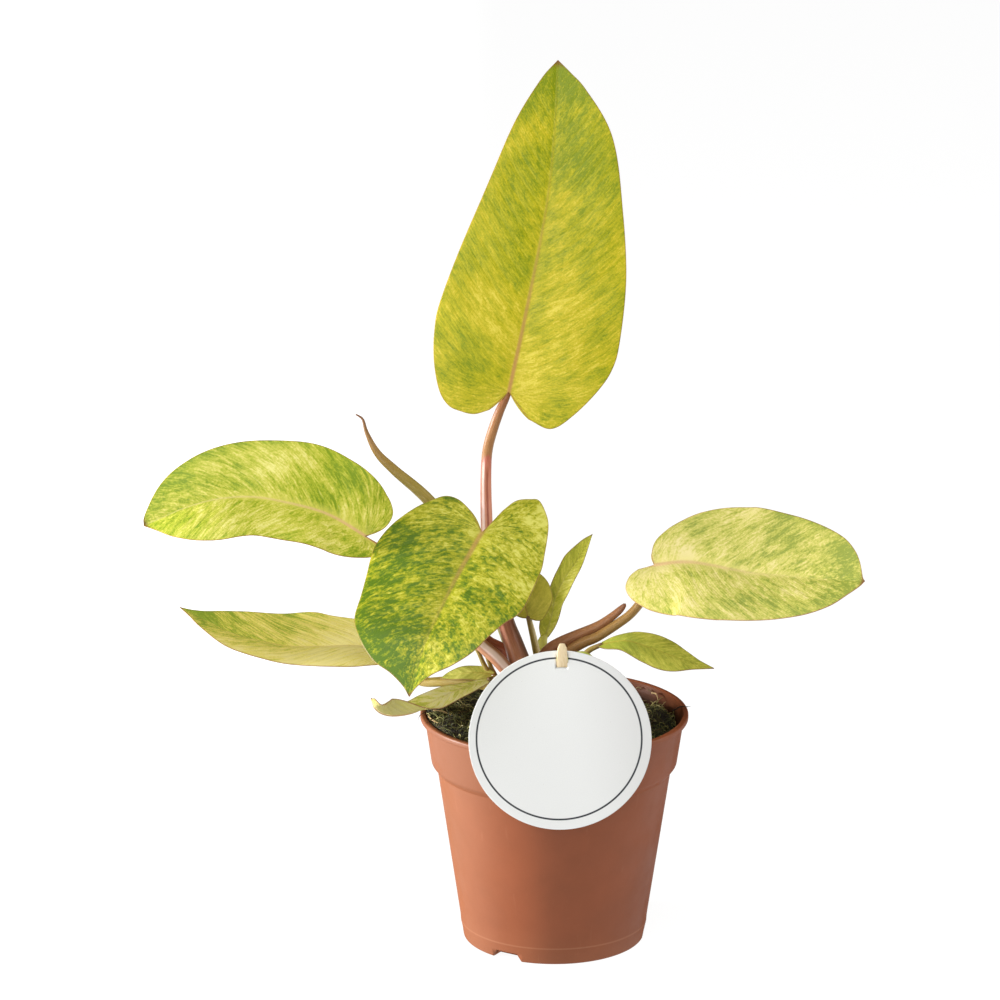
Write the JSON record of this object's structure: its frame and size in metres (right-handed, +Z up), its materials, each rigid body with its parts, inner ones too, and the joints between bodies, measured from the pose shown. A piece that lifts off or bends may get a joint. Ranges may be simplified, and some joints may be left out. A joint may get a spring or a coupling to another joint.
{
  "type": "potted painted lady philodendron",
  "caption": "Young painted lady philodendron with marbled heart-shaped leaves on copper stalks, in a plastic nursery pot with a round card on a wooden stick.",
  "frame": {"origin": "on the pot's axis, on the surface that the pot stands on", "axes": "+Z up; the card leans on the rim on the -Y side; +X is to the right of someone who faces the card"},
  "size_m": [0.3159, 0.1503, 0.3932],
  "materials": {
    "terracotta_plastic": "satin",
    "potting_soil": "matte, mossy",
    "stem_skin": "matte",
    "copper_stalk": "satin",
    "pink_stalk": "satin",
    "olive_stalk": "satin",
    "rolled_blade": "satin",
    "lime_marbled_blade": "satin, marbled",
    "green_marbled_blade": "satin, marbled",
    "cream_marbled_blade": "satin, marbled",
    "olive_blade": "satin",
    "white_card": "matte",
    "pale_wood": "matte"
  },
  "bodies": {
    "root": {"pot": "terracotta_plastic", "soil": "potting_soil", "stem": "stem_skin", "tall_leaf_stalk": "copper_stalk", "rolled_leaf": "rolled_blade", "spear_leaf_stalk": "olive_stalk", "right_leaf_stalk": "copper_stalk", "front_leaf_stalk": "copper_stalk", "left_leaf_stalk": "pink_stalk", "low_left_leaf_stalk": "olive_stalk", "round_leaf_stalk": "olive_stalk", "low_right_leaf_stalk": "olive_stalk", "rim_leaf_stalk": "olive_stalk", "under_leaf_stalk": "olive_stalk", "card_side_leaf_stalk": "olive_stalk", "hidden_leaf_stalk": "olive_stalk", "tall_leaf": "lime_marbled_blade", "left_leaf": "cream_marbled_blade", "front_leaf": "green_marbled_blade", "right_leaf": "cream_marbled_blade", "low_left_leaf": "cream_marbled_blade", "low_right_leaf": "olive_blade", "rim_leaf": "cream_marbled_blade", "under_leaf": "olive_blade", "round_leaf": "olive_blade", "spear_leaf": "olive_blade", "card_side_leaf": "olive_blade", "hidden_leaf": "olive_blade", "card": "white_card", "card_stick": "pale_wood"}
  },
  "joints": []
}
